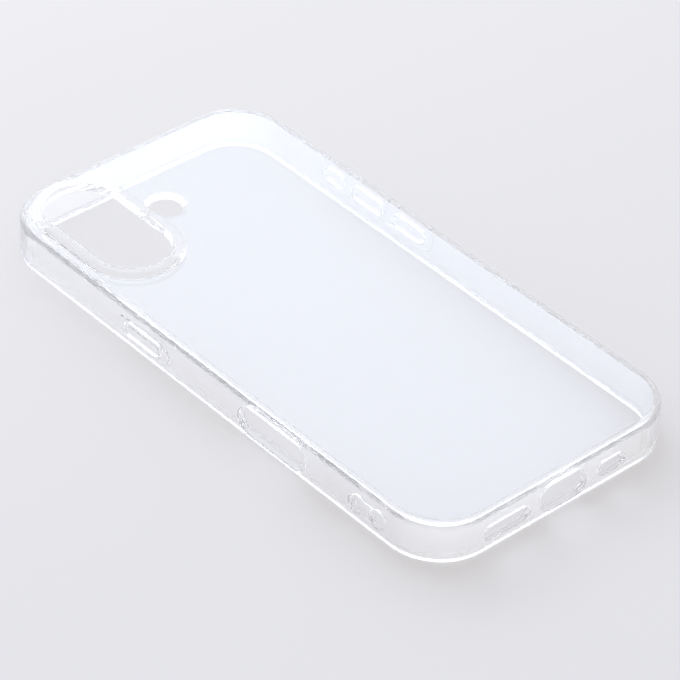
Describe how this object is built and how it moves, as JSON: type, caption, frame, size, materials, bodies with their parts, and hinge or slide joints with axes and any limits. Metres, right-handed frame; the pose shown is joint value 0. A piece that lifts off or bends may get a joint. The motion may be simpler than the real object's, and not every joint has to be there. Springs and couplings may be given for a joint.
{
  "type": "phone case",
  "caption": "Slim clear phone case: rigid back panel in a soft bumper frame, raised camera ring, flash hole, port and grille cut-outs, lanyard holes and sprung side button pads.",
  "frame": {"origin": "middle of the case's footprint, on the plane that the screen-side rim rests on", "axes": "+Z out through the back panel, +Y along the case towards the camera end, +X across the case away from the camera"},
  "size_m": [0.0766, 0.1512, 0.012],
  "materials": {
    "clear_soft": "clear flexible plastic, glossy",
    "clear_rigid": "clear rigid plastic with a faint blue cast, glossy"
  },
  "bodies": {
    "case": {"bumper_frame": "clear_soft", "back_panel": "clear_rigid", "camera_ring": "clear_soft"},
    "power_pad": {"power_button": "clear_soft"},
    "action_pad": {"action_button": "clear_soft"},
    "volume_up_pad": {"volume_up_button": "clear_soft"},
    "volume_down_pad": {"volume_down_button": "clear_soft"}
  },
  "joints": [
    {"name": "power_press", "type": "slide", "parent": "case", "child": "power_pad", "axis": [1, 0, 0], "range_m": [0, 0.0004], "stiffness_N_per_m": 900},
    {"name": "action_press", "type": "slide", "parent": "case", "child": "action_pad", "axis": [-1, 0, 0], "range_m": [0, 0.0004], "stiffness_N_per_m": 900},
    {"name": "volume_up_press", "type": "slide", "parent": "case", "child": "volume_up_pad", "axis": [-1, 0, 0], "range_m": [0, 0.0004], "stiffness_N_per_m": 900},
    {"name": "volume_down_press", "type": "slide", "parent": "case", "child": "volume_down_pad", "axis": [-1, 0, 0], "range_m": [0, 0.0004], "stiffness_N_per_m": 900}
  ]
}
